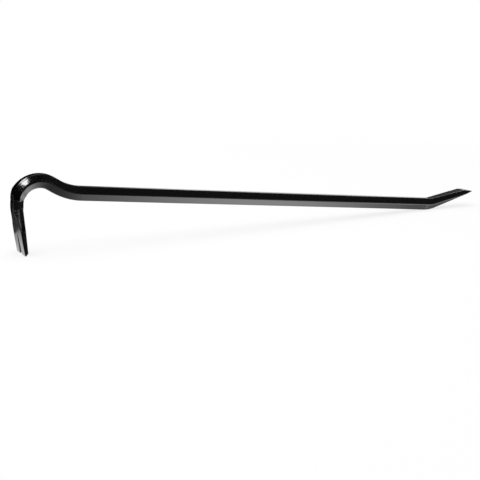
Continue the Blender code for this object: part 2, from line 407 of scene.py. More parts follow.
def rounded(corners: Array, rounding: Array, arc: int, edge: int, closed: bool) -> tuple[Array, ...]:
    """Outlines with each corner replaced by a quadratic curve that has the corner for its handle.

    Args:
        corners: Corners with the shape (rings, corners, 2), in the order in which the path runs.
        rounding: For each ring, how far from a corner its curve starts, less on a short edge.
        arc: Steps along each corner's curve.
        edge: Steps along each edge, set closer near its ends.
        closed: Whether the last corner joins the first; an open outline keeps its two ends sharp.

    Returns:
        Points, normals that lie to the right of the run, and the nearness of a corner.
    """
    last, after = np.roll(corners, 1, axis=1), np.roll(corners, -1, axis=1)
    to_last, to_next = last - corners, after - corners
    lengths = np.minimum(np.linalg.norm(to_last, axis=-1), np.linalg.norm(to_next, axis=-1))
    setback = np.minimum(rounding[:, None], FORM.longest_setback * lengths)[..., None]
    start = corners + unit(to_last) * setback
    end = corners + unit(to_next) * setback
    if not closed:
        for sharp in (0, -1):
            start[:, sharp] = end[:, sharp] = corners[:, sharp]
    turn = (np.arange(arc) / arc)[None, None, :, None]
    bow = (
        start[:, :, None] * (1.0 - turn) ** 2
        + corners[:, :, None] * 2.0 * turn * (1.0 - turn)
        + end[:, :, None] * turn**2
    )
    share = clustered(edge)[None, None, :, None]
    upcoming = np.roll(start, -1, axis=1)
    straight = end[:, :, None] * (1.0 - share) + upcoming[:, :, None] * share
    span = np.linalg.norm(upcoming - end, axis=-1)[..., None]
    gap = np.minimum(share[..., 0], 1.0 - share[..., 0]) * span
    nearness = np.exp(-gap / (RIDGE_REACH * rounding[:, None, None]))
    points = np.concatenate((bow, straight), axis=2).reshape(len(corners), -1, 2)
    ridge = np.concatenate((np.ones(bow.shape[:-1]), nearness), axis=2).reshape(len(corners), -1)
    along = np.roll(points, -1, axis=1) - np.roll(points, 1, axis=1)
    normals = unit(np.stack((along[..., 1], -along[..., 0]), axis=-1))
    kept = slice(None) if closed else slice(arc, 1 - arc - edge)
    return points[:, kept], normals[:, kept], ridge[:, kept]


def grid_quads(ids: Array, closed: bool) -> Array:
    """Quads over a grid of vertices.

    Args:
        ids: Vertex indices with the shape (rows, columns).
        closed: Whether the last column joins the first.

    Returns:
        Vertex indices with the shape (quads, 4).
    """
    if closed:
        ids = np.concatenate((ids, ids[:, :1]), axis=1)
    return np.stack((ids[:-1, :-1], ids[:-1, 1:], ids[1:, 1:], ids[1:, :-1]), axis=-1).reshape(-1, 4)


def numbered(shape: tuple[int, ...], first: int = 0) -> Array:
    """Returns the indices, from the first one on, of a grid of vertices stored row by row."""
    return np.arange(first, first + math.prod(shape)).reshape(shape)


# ---- The forger's hand ----


@dataclass(frozen=True)
class Unevenness:
    """Slight waves that rolling and forging leave in the steel, as real displacement of the skin.

    The height is a sum of sine products, sin(a.p + f) times cos(b.p + g), over the point p, with
    long shallow waves on the rolled shaft and shorter, deeper ones where the hammer has worked.
    """

    seed: int = 7
    waves: int = 9
    rolled_height: float = 0.000018
    rolled_length: float = 0.11
    forged_height: float = 0.00007
    forged_length: float = 0.019
    heel_fade: Pair = (-0.03, 0.02)
    neck_rise: float = -0.02
    hook_rise: Pair = (-0.03, 0.7)

    def waves_of(self, points: Array, length: float, seed: int) -> Array:
        """The sum of sine products at the points.

        Args:
            points: Points with a last axis of 3.
            length: Length of the waves.
            seed: Seed of their directions and starts.

        Returns:
            The sum at each point, mostly within -1 and 1.
        """
        draw = np.random.default_rng(seed)
        total = np.zeros(points.shape[:-1])
        for _ in range(self.waves):
            a, b = draw.normal(size=(2, 3)) * 2.0 * math.pi / length / math.sqrt(3.0)
            f, g = draw.uniform(0.0, 2.0 * math.pi, 2)
            total += np.sin(points @ a + f) * np.cos(points @ b + g)
        return total / math.sqrt(self.waves)

    def worked(self, s: Array) -> Array:
        """How much the steel was worked: fully at both ends, and not at all along the shaft.

        Args:
            s: Distances from the cutting edge.

        Returns:
            A share from 0 to 1 at each distance.
        """
        heel, neck = FORM.marks[1], FORM.marks[3]
        (heel_from, heel_to), (hook_from, hook_share) = self.heel_fade, self.hook_rise
        fade = (heel + heel_from, 1.0), (heel + heel_to, 0.0)
        rise = (neck + self.neck_rise, 0.0), (FORM.root + hook_from, hook_share), (FORM.root, 1.0)
        return law(s, *fade, *rise)

    def height(self, points: Array, s: Array) -> Array:
        """How far the skin stands proud of the plain form.

        Args:
            points: Points of the plain form, with a last axis of 3.
            s: Their distances from the cutting edge.

        Returns:
            The height at each point.
        """
        rolled = self.waves_of(points, self.rolled_length, self.seed) * self.rolled_height
        forged = self.waves_of(points, self.forged_length, self.seed + 1) * self.forged_height
        return rolled + forged * self.worked(s)


UNEVENNESS = Unevenness()


@dataclass(frozen=True)
class Patch(Grid):
    """Vertices of the skin, with the surface's own attributes at each."""

    points: Array
    ridge: Array
    worked: Array
    unbent: Array

    @classmethod
    def along(cls, path: Path, weight: float = 1.0) -> "Patch":
        """Carries a path to the centre line and adds the forging's unevenness.

        A point is the centre line's point, plus its height along the outward vector, plus its distance
        across along Y, plus the unevenness along the path's own normal.

        Args:
            path: The path.
            weight: Share of the unevenness that is used.

        Returns:
            Its vertices row by row. The unbent place of each is distance along, distance across
            and height, as if the bar were straight.
        """
        centre, out = FORM.centre(path.s)
        side = np.array((0.0, 1.0, 0.0))
        plain = centre + out * path.points[..., 1:] + side * path.points[..., :1]
        proud = UNEVENNESS.height(plain, path.s)[..., None] * weight
        points = plain + (out * path.normals[..., 1:] + side * path.normals[..., :1]) * proud
        unbent = np.concatenate((path.s[..., None], path.points), axis=-1)
        return cls(points, path.ridge, UNEVENNESS.worked(path.s), unbent).listed()


@dataclass(frozen=True)
class Skin:
    """A closed skin, ready to be put into a mesh: its vertices, its quads and its end caps."""

    vertices: Patch
    quads: Array
    caps: list[list[int]]


# ---- Shader expressions ----


class Ray(Enum):
    """Kinds of ray that a stage material tells apart."""

    CAMERA = "Is Camera Ray"
    GLOSSY = "Is Glossy Ray"
    TRANSMISSION = "Is Transmission Ray"


def math_method(operation: str, reflected: bool = False) -> Callable[..., "Value"]:
    """Makes a method that adds a Math node.

    Args:
        operation: The node's operation.
        reflected: Whether the method's own value comes last, as in 1 - mask.

    Returns:
        The method.
    """

    def method(value: "Value", *others: "Value | float") -> "Value":
        """Returns the node's result over the value and the others."""
        values = (value, *others)
        return value.graph.math(operation, *(values[::-1] if reflected else values))

    return method


class Value:
    """A socket that takes part in Python arithmetic: each operator adds its Math node."""

    __add__, __radd__ = math_method("ADD"), math_method("ADD", True)
    __sub__, __rsub__ = math_method("SUBTRACT"), math_method("SUBTRACT", True)
    __mul__, __rmul__ = math_method("MULTIPLY"), math_method("MULTIPLY", True)
    __pow__ = math_method("POWER")
    most = math_method("MAXIMUM")
    magnitude = math_method("ABSOLUTE")

    def __init__(self, graph: "Graph", socket: bpy.types.NodeSocket) -> None:
        """Keeps the socket and the graph that it belongs to."""
        self.graph = graph
        self.socket = socket

    def ramped(self, low: float, high: float) -> "Value":
        """Returns a share that rises smoothly from 0 at low to 1 at high."""
        inputs = {"Value": self, "From Min": low, "From Max": high}
        return self.graph.read("ShaderNodeMapRange", "Result", inputs, interpolation_type="SMOOTHSTEP")

    def fading(self, low: float, high: float) -> "Value":
        """Returns a share that falls smoothly from 1 at low to 0 at high."""
        return 1.0 - self.ramped(low, high)


class Graph:
    """The nodes of one material or of the world, made through a few short calls."""

    def __init__(self, tree: bpy.types.NodeTree) -> None:
        """Empties the tree and keeps it."""
        self.tree = tree
        tree.nodes.clear()

    def node(self, kind: str, inputs: Inputs | None = None, **settings: Any) -> bpy.types.Node:
        """Adds a node.

        Args:
            kind: The node's type.
            inputs: Values, sockets or expressions for its input sockets, by name or number.
            settings: Properties of the node, set before its sockets.

        Returns:
            The new node.
        """
        made = self.tree.nodes.new(kind)
        for name, value in settings.items():
            setattr(made, name, value)
        for name, value in (inputs or {}).items():
            source = value.socket if isinstance(value, Value) else value
            if isinstance(source, bpy.types.NodeSocket):
                self.tree.links.new(source, made.inputs[name])
            else:
                made.inputs[name].default_value = source
        return made

    def read(self, kind: str, output: str | int, *inputs: Inputs, **settings: Any) -> Value:
        """Adds a node, as node does, and returns the value of its output of that name or number."""
        return Value(self, self.node(kind, *inputs, **settings).outputs[output])

    def math(self, operation: str, *values: "Value | float") -> Value:
        """Returns the result of a Math node over values or numbers."""
        return self.read("ShaderNodeMath", 0, dict(enumerate(values)), operation=operation)

    def attribute(self, name: str, output: str = "Fac") -> Value:
        """Returns what is stored on the mesh under that name."""
        return self.read("ShaderNodeAttribute", output, attribute_name=name)

    def bell(self, value: Value, middle: float, width: float) -> Value:
        """Returns e to the minus square of the value's distance from the middle over the width."""
        apart = (value - middle) * (1.0 / width)
        return self.math("EXPONENT", -1.0 * (apart * apart))

    def position(self) -> Value:
        """Returns the Object coordinates."""
        return self.read("ShaderNodeTexCoord", "Object")

    def place(self) -> list[Value]:
        """Returns the three Object coordinates, each as a value."""
        apart = self.node("ShaderNodeSeparateXYZ", {0: self.position()})
        return [Value(self, output) for output in apart.outputs]

    def noise(self, vector: Value, scale: float, detail: float, rough: float = 0.5) -> Value:
        """Returns smooth noise around one half.

        Args:
            vector: Coordinates to read it at.
            scale: Cells per metre.
            detail: Number of finer layers.
            rough: Strength of each finer layer over the last.

        Returns:
            The noise.
        """
        inputs = {"Vector": vector, "Scale": scale, "Detail": detail, "Roughness": rough}
        return self.read("ShaderNodeTexNoise", "Fac", inputs)

    def mixed(self, share: Value, low: Colour | Value, high: Colour) -> Value:
        """Returns a colour between two colours."""
        return self.read("ShaderNodeMix", 2, {0: share, 6: low, 7: high}, data_type="RGBA")

    def background(self) -> Value:
        """Returns 1 for the rays that see a background as it is, and 0 for those that carry light."""
        camera, glossy, transmission = (self.read("ShaderNodeLightPath", ray.value) for ray in Ray)
        return camera.most(glossy).most(transmission)

    def surface(self, shader: bpy.types.Node) -> None:
        """Ends the material in that shader."""
        self.node("ShaderNodeOutputMaterial", {"Surface": shader.outputs[0]})

    def blend(self, share: Value | float, low: bpy.types.Node, high: bpy.types.Node) -> None:
        """Ends the material in a share of one shader over another."""
        self.surface(self.node("ShaderNodeMixShader", {0: share, 1: low.outputs[0], 2: high.outputs[0]}))


# ---- Finishes ----


def grey(level: float) -> Colour:
    """Returns a neutral colour of that level."""
    return (level, level, level, 1.0)


@dataclass(frozen=True)
class BlackLacquer:
    """Glossy black lacquer over forged steel, with drawn lines, peel and pits, and thin on the ridges.

    A ramp is the value at which a share leaves 0 and the one at which it reaches 1.
    """

    # Colour: the lacquer's, what shows where it is worn thin on the ridges, and specks of dust.
    black: Colour = (0.0009, 0.0009, 0.001, 1.0)
    thin: Colour = (0.0085, 0.0078, 0.007, 1.0)
    dust: Colour = (0.02, 0.019, 0.018, 1.0)
    ridge_ramp: Pair = (0.55, 1.0)
    cloud_scale: float = 38.0
    cloud_ramp: Pair = (0.35, 0.7)
    fine_scale: float = 520.0
    fine_ramp: Pair = (0.42, 0.66)
    speck_scale: float = 2600.0
    speck_ramp: Pair = (0.7, 0.78)
    speck_cloud_ramp: Pair = (0.3, 0.6)
    speck_share: float = 0.35

    # Gloss: each matter is the roughness that full wear, cloud, lines or forging adds.
    roughness: float = 0.12
    least_roughness: float = 0.06
    worn_matter: float = 0.12
    cloud_matter: float = 0.1
    line_matter: float = 0.1
    forged_matter: float = 0.03
    specular_level: float = 1.0
    index: float = 1.6
    coat: float = 0.35
    coat_roughness: float = 0.09
    coat_worn: float = 0.5

    # Relief, in metres, with the share of the pits and lines that plain rolled steel has.
    peel_scale: float = 900.0
    peel_depth: float = 0.0000045
    pit_scale: float = 340.0
    pit_ramp: Pair = (0.3, 0.46)
    pit_depth: float = 0.00003
    rolled_pits: float = 0.12
    line_scale: Triple = (9.0, 330.0, 330.0)
    line_depth: float = 0.00024
    rolled_lines: float = 0.06

    def material(self, name: str) -> bpy.types.Material:
        """Makes the material.

        Args:
            name: Name of the material.

        Returns:
            The new material.
        """
        made = bpy.data.materials.new(name)
        made.use_nodes = True
        graph = Graph(made.node_tree)
        place = graph.position()
        worked = graph.attribute("worked")
        cloud = graph.noise(place, self.cloud_scale, 3.0)
        fine = graph.noise(place, self.fine_scale, 4.0, 0.6)
        along = {0: graph.attribute("unbent", "Vector"), 1: self.line_scale}
        line = graph.noise(graph.read("ShaderNodeVectorMath", 0, along, operation="MULTIPLY"), 1.0, 2.0)
        worn = graph.attribute("ridge").ramped(*self.ridge_ramp) * fine.ramped(*self.fine_ramp)
        worn = worn * cloud.ramped(*self.cloud_ramp)
        specks = graph.noise(place, self.speck_scale, 1.0).ramped(*self.speck_ramp)
        specks = specks * cloud.ramped(*self.speck_cloud_ramp)
        base = graph.mixed(worn, self.black, self.thin)
        rough = self.roughness + worn * self.worn_matter + (cloud - 0.5) * self.cloud_matter
        rough = rough + (line - 0.5) * self.line_matter + worked * self.forged_matter
        surface = graph.node(
            "ShaderNodeBsdfPrincipled",
            {
                "Base Color": graph.mixed(specks * self.speck_share, base, self.dust),
                "Roughness": rough.most(self.least_roughness),
                "Coat Weight": (1.0 - worn * self.coat_worn) * self.coat,
                "Coat Roughness": self.coat_roughness,
                "IOR": self.index,
                "Specular IOR Level": self.specular_level,
                "Normal": self.relief(graph, line, worked),
            },
        )
        graph.surface(surface)
        return made

    def relief(self, graph: Graph, line: Value, worked: Value) -> Value:
        """The fine relief of the lacquer and of the steel under it.

        Args:
            graph: The graph of the material.
            line: Noise that is stretched along the bar.
            worked: How much the steel was worked.

        Returns:
            The surface's normal.
        """
        peel = graph.noise(graph.position(), self.peel_scale, 2.0) * self.peel_depth
        pits = graph.noise(graph.position(), self.pit_scale, 3.0).fading(*self.pit_ramp)
        pits = pits * (self.rolled_pits + worked * (1.0 - self.rolled_pits))
        drawn = line * (self.rolled_lines + worked * (1.0 - self.rolled_lines))
        height = peel - pits * self.pit_depth + drawn * self.line_depth
        inputs = {"Height": height, "Strength": 1.0, "Distance": 1.0}
        return graph.read("ShaderNodeBump", "Normal", inputs)


# ---- The zones of the forging ----


def placed(name: str, data: bpy.types.ID) -> bpy.types.Object:
    """Returns a new object of the scene that shows the data."""
    made = bpy.data.objects.new(name, data)
    bpy.context.scene.collection.objects.link(made)
    return made


@dataclass
class ForgedZone:
    """A zone of the forging: one closed skin over its stretch of the centre line."""

    name: str
    node: str
    slot: str
    start: float
    end: float
    ring_gap: float = 0.0015
    arc_steps: int = 5
    edge_steps: int = 9
    border_rings: Triple = (0.0001, 0.0003, 0.0008)
    beside_change: float = 0.0003
    step_rings: int = 13
    least_from_border: float = 0.00005
    least_gap: float = 0.00008
    crease: float = math.radians(50.0)
    finish: BlackLacquer = field(default_factory=BlackLacquer)

    def rings(self) -> Array:
        """Distances of the rings: even, at every change of the section, and closer at both borders.

        Returns:
            Sorted distances from the cutting edge.
        """
        even = np.linspace(self.start, self.end, int((self.end - self.start) / self.ring_gap) + 2)
        near = np.array(self.border_rings)
        changes = np.array((FORM.bevel_length, FORM.root - FORM.drawn_before_root))
        crisp = np.concatenate((changes, changes - self.beside_change, changes + self.beside_change))
        step = FORM.step_length * np.linspace(-0.1, 1.1, self.step_rings)
        step = FORM.root - FORM.step_before_root + step
        extra = np.concatenate((self.start + near, self.end - near, crisp, step))
        least = self.least_from_border
        extra = extra[(extra > self.start + least) & (extra < self.end - least)]
        marks = np.unique(np.round(np.concatenate((even[1:-1], extra)), 6))
        kept = marks[np.concatenate(([True], np.diff(marks) > self.least_gap))]
        return np.concatenate(([self.start], kept, [self.end]))

    def sections(self, s: Array) -> Path:
        """Returns the bar's rounded section at distances from the cutting edge, as rings of a path."""
        outline = rounded(FORM.corners(s), FORM.rounding(s), self.arc_steps, self.edge_steps, True)
        return Path(np.broadcast_to(s[:, None], outline[-1].shape), *outline)

    def skin(self) -> Skin:
        """The closed skin: the section carried along the centre line, with a flat cap at each end.

        Returns:
            The skin, whose faces look outwards.
        """
        path = self.sections(self.rings())
        ids = numbered(path.s.shape)
        caps = [ids[0].tolist(), ids[-1, ::-1].tolist()]
        return Skin(Patch.along(path), grid_quads(ids, True)[:, ::-1], caps)

    def build(self) -> bpy.types.Object:
        """Makes the piece from its skin.

        Returns:
            The new object, at the origin.
        """
        skin = self.skin()
        mesh = bpy.data.meshes.new(self.name)
        mesh.from_pydata(skin.vertices.points.tolist(), [], [*skin.quads.tolist(), *skin.caps])
        number, vector = ("FLOAT", "value"), ("FLOAT_VECTOR", "vector")
        for name, (kind, key) in (("ridge", number), ("worked", number), ("unbent", vector)):
            values = getattr(skin.vertices, name).astype(np.float32)
            mesh.attributes.new(name, kind, "POINT").data.foreach_set(key, values.reshape(-1))
        mesh.shade_smooth()
        mesh.set_sharp_from_angle(angle=self.crease)
        mesh.update()
        return placed(self.name, mesh)

    def dress(self, piece: bpy.types.Object) -> None:
        """Gives the piece its finish in a material named after its slot, puts it under its body's empty
        and hides the imported part of its node.

        Args:
            piece: The piece, as built.
        """
        piece.data.materials.append(self.finish.material(self.slot))
        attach(piece, "root")
        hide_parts(self.node)


@dataclass
class NailClaw(ForgedZone):
    """The nail claw: a flared plate with a V slot, countersunk on its inner face, and two tines.

    One half is worked out as rings and mirrored. A ring runs over the outer flat, round the side
    wall and over the inner flat, and past the root of the slot it closes over the slot's wall.
    """

    # The slot, its countersink, its worn edge and the rounding of its rims and of the tips.
    slot_length: float = 0.026
    slot_mouth: float = 0.009
    slot_root_width: float = 0.0028
    countersink: float = 0.0016
    countersink_depth: float = 0.0022
    least_countersink: float = 0.0003
    least_wall: float = 0.0006
    slot_rounding: float = 0.0006
    slot_land: float = 0.0009
    slot_wear: float = 0.8
    slot_wear_reach: float = 0.001
    tip_rounding: float = 0.0005

    # Rings before the slot, round its root, along a tine and at its tip, and steps along a ring.
    plain_rings: int = 44
    root_rings: int = 14
    tine_rings: int = 34
    tip_rings: int = 4
    flat_steps: int = 16
    wall_steps: int = 4
    near_root: tuple[float, ...] = (0.0001, 0.0003, 0.001, 0.003)
    eased_and_even_rings: Pair = (0.35, 0.65)
    clustered_and_even_steps: Pair = (0.55, 0.45)

    @property
    def root_centre(self) -> float:
        """Distance of the centre of the slot's root from the tips."""
        return self.slot_length - self.slot_root_width / 2.0

    @property
    def slant(self) -> float:
        """Angle between the slot's edge and the claw's middle."""
        return math.atan((self.slot_mouth - self.slot_root_width) / 2.0 / self.root_centre)

    def slot_edge(self, turn: Array, run: Array, grown: Array) -> tuple[Array, Array]:
        """The V of the slot grown outwards by an even amount: an arc at the root, then a slanted edge.

        With R the grown radius of the root and b the slant, the arc is R times the cosine and sine
        of the turn about the root's centre, and the edge runs on from its end towards the tips.

        Args:
            turn: Turn about the root's centre, from 0 at the apex to its end.
            run: Share of the slanted edge, 0 at the arc's end and 1 at the claw's tips.
            grown: How far the outline is grown.

        Returns:
            Distance from the tips and distance across.
        """
        radius = self.slot_root_width / 2.0 + grown
        arc_along, arc_across = self.root_centre + radius * np.cos(turn), radius * np.sin(turn)
        from_along = self.root_centre - radius * math.sin(self.slant)
        along = np.where(run > 0.0, from_along * (1.0 - run), arc_along)
        edge_across = radius * math.cos(self.slant) + (from_along - along) * math.tan(self.slant)
        return along, np.where(run > 0.0, edge_across, arc_across)

    def heights(self, s: Array) -> tuple[Array, Array]:
        """Returns the heights of the outer and the inner face at distances from the cutting edge."""
        corners = FORM.corners(s)
        return corners[..., 0, 1], corners[..., 2, 1]

    def wall(self) -> Path:
        """The slot's wall, from the outer face down the wall and the countersink to the inner face.

        Some rings stand round the arc of the root and the rest along the slanted edge. A ring's
        countersink is as wide as its depth below the inner face asks, found in a few rounds.

        Returns:
            The wall's path.
        """
        arc_end = math.pi / 2.0 + self.slant
        turn = np.linspace(0.0, arc_end, self.root_rings)
        turn = np.concatenate((turn, np.full(self.tine_rings, arc_end)))
        last_run = 1.0 - self.tip_rounding / self.root_centre
        runs = np.linspace(0.0, last_run, self.tine_rings + 1)[1:]
        run = np.concatenate((np.zeros(self.root_rings), runs))

        start_depth = self.countersink_depth - FORM.plate_thickness / 2.0
        slope = self.countersink / self.countersink_depth
        zero = np.zeros_like(turn)
        along, _ = self.slot_edge(turn, run, zero + self.slot_land)
        outer = self.heights(FORM.tip - along)[0]
        wide = zero + self.countersink
        for _ in range(4):
            along, _ = self.slot_edge(turn, run, wide + self.slot_land)
            inner = self.heights(FORM.tip - along)[1]
            meet = np.maximum(inner + self.least_countersink, start_depth)
            meet = np.minimum(meet, outer - self.least_wall)
            wide = slope * (meet - inner)
        grown = np.stack((zero + self.slot_land, zero, zero, wide, wide + self.slot_land), axis=1)
        corners = np.stack((grown, np.stack((outer, outer, meet, inner, inner), axis=1)), axis=-1)
        setback = np.full(len(turn), self.slot_rounding)
        profile, _, _ = rounded(corners, setback, self.wall_steps, self.wall_steps, False)
        grown, height = profile[..., 0], profile[..., 1]
        along, across = self.slot_edge(turn[:, None], run[:, None], grown)
        worn = np.exp(-grown / self.slot_wear_reach) * self.slot_wear
        return Path(FORM.tip - along, np.stack((across, height), -1), np.zeros_like(profile), worn)

    def flat(self, start: Array, end: Array, up: float) -> Path:
        """One flat of the half, from the slot's edge or the middle to the side wall.

        Args:
            start: Distances from the cutting edge and across at which its rings start.
            end: The same where its rings end.
            up: 1 for the outer face and -1 for the inner one.

        Returns:
            The flat's path.
        """
        near_ends, even = self.clustered_and_even_steps
        share = near_ends * clustered(self.flat_steps)
        share = share + even * np.arange(self.flat_steps) / self.flat_steps
        s, y = np.moveaxis(start[:, None] + (end - start)[:, None] * share[:, None], -1, 0)
        points = np.stack((y, self.heights(s)[0 if up > 0.0 else 1]), -1)
        near = np.exp(-(end[:, 1:] - y) / (RIDGE_REACH * FORM.edge_rounding))
        return Path(s, points, np.broadcast_to((0.0, up), points.shape), near)

    def shell(self, slot: Path) -> Path:
        """The half's outer flat, side wall and inner flat, from the claw's root to its tips.

        Args:
            slot: The path of the slot's wall.

        Returns:
            The shell's path.
        """
        even = np.linspace(0.0, 1.0, self.plain_rings)
        eased_part, even_part = self.eased_and_even_rings
        lead = (smooth(even) * eased_part + even * even_part)[:-1]
        lead = np.unique(np.concatenate((lead, self.near_root)))
        starts = []
        for end in (0, -1):
            s = np.concatenate((FORM.root + lead * (slot.s[0, end] - FORM.root), slot.s[:, end]))
            y = np.concatenate((np.zeros(len(lead)), slot.points[:, end, 0]))
            starts.append(np.stack((s, y), -1))
        side_s = (starts[0][:, 0] + starts[1][:, 0]) / 2.0
        side_s[-1] = starts[0][-1, 0]

        # The side runs from the outer flat's end round the side corner to the inner flat's end.
        block = self.arc_steps + self.edge_steps
        side = self.sections(side_s)[:, 3 * block : 5 * block + self.arc_steps + 1][:, ::-1]
        outer, inner = (
            self.flat(start, np.stack((side_s, side.points[:, end, 0]), -1), up)
            for start, end, up in zip(starts, (0, -1), (1.0, -1.0))
        )
        return Path.joined(outer, side, inner[:, ::-1], axis=1)

    def tine_end(self, edge: Array) -> Path:
        """The rounded end of a tine: rings that sink along the bar while they draw in to its middle.

        Args:
            edge: Across and height of the tine's last ring, all the way round.

        Returns:
            The end's path.
        """
        low, high = edge.min(axis=0), edge.max(axis=0)
        half = (high[1] - low[1]) / 2.0
        inside = np.clip(edge[:, 0], low[0] + half, high[0] - half)
        inward = unit(np.stack((inside - edge[:, 0], (high[1] + low[1]) / 2.0 - edge[:, 1]), -1))
        angle = np.linspace(0.0, math.pi / 2.0, self.tip_rings + 1)[1:, None]
        drawn = edge[None] + inward[None] * (self.tip_rounding * (1.0 - np.cos(angle)))[..., None]
        s = np.broadcast_to(FORM.tip - self.tip_rounding * (1.0 - np.sin(angle)), drawn.shape[:-1])
        return Path(s, drawn, np.zeros_like(drawn), np.ones_like(s))

    def skin(self) -> Skin:
        """The whole claw, made of the worked-out half and its mirror image.

        Returns:
            The skin, whose faces look outwards.
        """
        slot = self.wall()
        shell, slot = self.shell(slot), slot[:, 1:-1]
        end = self.tine_end(np.concatenate((shell.points[-1], slot.points[-1, ::-1])))
        parts = ((shell, 1.0), (slot, 0.0), (end, 0.0))
        near = Patch.joined(*(Patch.along(path, weight) for path, weight in parts))
        far = Patch.joined(*(Patch.along(path.mirrored(), weight) for path, weight in parts))

        shell_ids = numbered(shell.s.shape)
        slot_ids = numbered(slot.s.shape, shell_ids.size)
        end_ids = numbered(end.s.shape, shell_ids.size + slot_ids.size)
        beside_slot = shell_ids[-len(slot_ids) :]
        strip = np.concatenate((beside_slot[:, :1], slot_ids, beside_slot[:, -1:]), 1)
        last_ring = np.concatenate((shell_ids[-1], slot_ids[-1, ::-1]))
        closing = np.concatenate((last_ring[None], end_ids))
        grids = ((shell_ids, False), (strip[:, ::-1], False), (closing, True))
        quads = np.concatenate([grid_quads(ids, closed) for ids, closed in grids])

        middle = np.abs(near.points[:, 1]) < ON_MIDDLE
        near.points[middle, 1] = 0.0
        mirror = np.where(middle, np.arange(len(middle)), len(middle) + np.cumsum(~middle) - 1)
        root_cap = [*shell_ids[0, ::-1].tolist(), *mirror[shell_ids[0, 1:-1]].tolist()]
        caps = [root_cap, end_ids[-1].tolist(), mirror[end_ids[-1, ::-1]].tolist()]
        vertices = Patch.joined(near, far[~middle])
        return Skin(vertices, np.concatenate((quads, mirror[quads][:, ::-1])), caps)


# ---- The studio ----


class Seen(Enum):
    """Which rays see a piece of the studio."""

    BY_EYE = "eye"
    IN_REFLECTIONS = "reflections"


def stage_piece(name: str, points: Array, quads: Array, seen: Seen) -> tuple[bpy.types.Object, Graph]:
    """Puts a piece of the studio on the stage.

    Args:
        name: Name of the piece and of its material.
        points: Its vertices.
        quads: Its faces.
        seen: Which rays see it: the camera's and those of soft light, or reflections alone.

    Returns:
        The piece and the graph of its material.
    """
    mesh = bpy.data.meshes.new(name)
    mesh.from_pydata(points.tolist(), [], quads.tolist())
    piece = placed(name, mesh)
    material = bpy.data.materials.new(name)
    material.use_nodes = True
    mesh.materials.append(material)
    by_eye = seen is Seen.BY_EYE
    piece.visible_camera = piece.visible_diffuse = piece.visible_shadow = by_eye
    piece.visible_glossy = not by_eye
    piece.visible_transmission = True
    piece.visible_volume_scatter = False
    return piece, Graph(material.node_tree)


def sheet(half: Pair, height: float) -> tuple[Array, Array]:
    """Returns the corners and the one face of a level rectangle about the origin, at a height."""
    x, y = half
    points = np.array([(-x, -y, height), (x, -y, height), (x, y, height), (-x, y, height)])
    return points, np.array([(0, 1, 2, 3)])


def glowing(graph: Graph, glow: Value | float, solid: Value | float) -> None:
    """Makes a piece of the studio glow where it is solid and let rays through elsewhere.

    Args:
        graph: The graph of its material.
        glow: Its radiance.
        solid: Share of it that is solid.
    """
    white = graph.node("ShaderNodeEmission", {"Color": grey(1.0), "Strength": glow})
    graph.blend(solid, graph.node("ShaderNodeBsdfTransparent"), white)


@dataclass(frozen=True)
class SoftBox:
    """A soft box or pale card that the lacquer mirrors: a rectangle whose glow fades out at its edges."""

    name: str
    target: Triple
    direction: Triple
    distance: float
    half: Pair
    radiance: float
    fade: float = 0.3

    def build(self) -> None:
        """Hangs the box at its distance from the target, looking at it."""
        piece, graph = stage_piece(self.name, *sheet(self.half, 0.0), Seen.IN_REFLECTIONS)
        away = Vector(self.direction).normalized()
        turned = away.to_track_quat("Z", "Y").to_matrix().to_4x4()
        piece.matrix_world = Matrix.Translation(Vector(self.target) + away * self.distance) @ turned
        across, upright = (
            (value.magnitude() * (1.0 / half)).fading(1.0 - self.fade, 1.0)
            for value, half in zip(graph.place(), self.half)
        )
        glowing(graph, self.radiance, across * upright)


HOOK = (-0.355, -0.008, 0.09)
CLAW = (-0.36, -0.01, 0.045)
CHISEL = (0.34, -0.007, 0.022)
MIDDLE = (0.0, 0.0, 0.03)
ROOM_RADIUS = 6.0
TABLE_DEPTH = 0.5


@dataclass(frozen=True)
class LightTable:
    """The glowing table that the undersides mirror: brightest below the bar, dark further out.

    A pair is two places along X or Y, between which a glow rises or fades.
    """

    bell_middle: float = 0.24
    bell_width: float = 0.36
    bell_glow: float = 1.62
    dimmer_to_right: Pair = (0.42, 0.6)
    dimmer_share: float = 0.2
    left_fade: Pair = (-0.5, 0.0)
    left_glow: float = 0.15
    right_rise: Pair = (0.3, 0.5)
    right_glow: float = 0.37
    end_rise: Pair = (0.92, 1.1)
    end_glow: float = 0.95
    end_fade: Pair = (1.7, 2.0)
    card_rise: Pair = (0.42, 0.56)
    card_fade: Pair = (1.2, 1.5)
    card_depth_fade: Pair = (-0.25, -0.205)
    card_glow: float = 1.8
    width_fade: Pair = (0.55, 1.0)
    far_glow: float = 0.04

    def build(self) -> None:
        """Lays the table below the floor."""
        level = sheet((ROOM_RADIUS, ROOM_RADIUS), -TABLE_DEPTH)
        _, graph = stage_piece("light_table", *level, Seen.IN_REFLECTIONS)
        x, y, _ = graph.place()
        middle = graph.bell(x, self.bell_middle, self.bell_width) * self.bell_glow
        middle = middle * (1.0 - x.ramped(*self.dimmer_to_right) * self.dimmer_share)
        middle = middle + x.fading(*self.left_fade) * self.left_glow
        right = x.ramped(*self.right_rise) * self.right_glow + x.ramped(*self.end_rise) * self.end_glow
        card = x.ramped(*self.card_rise) * x.fading(*self.card_fade) * y.fading(*self.card_depth_fade)
        glow = middle.most(right * x.fading(*self.end_fade)).most(card * self.card_glow)
        near = y.magnitude().fading(*self.width_fade)
        glowing(graph, (glow * near).most(self.far_glow), 1.0)


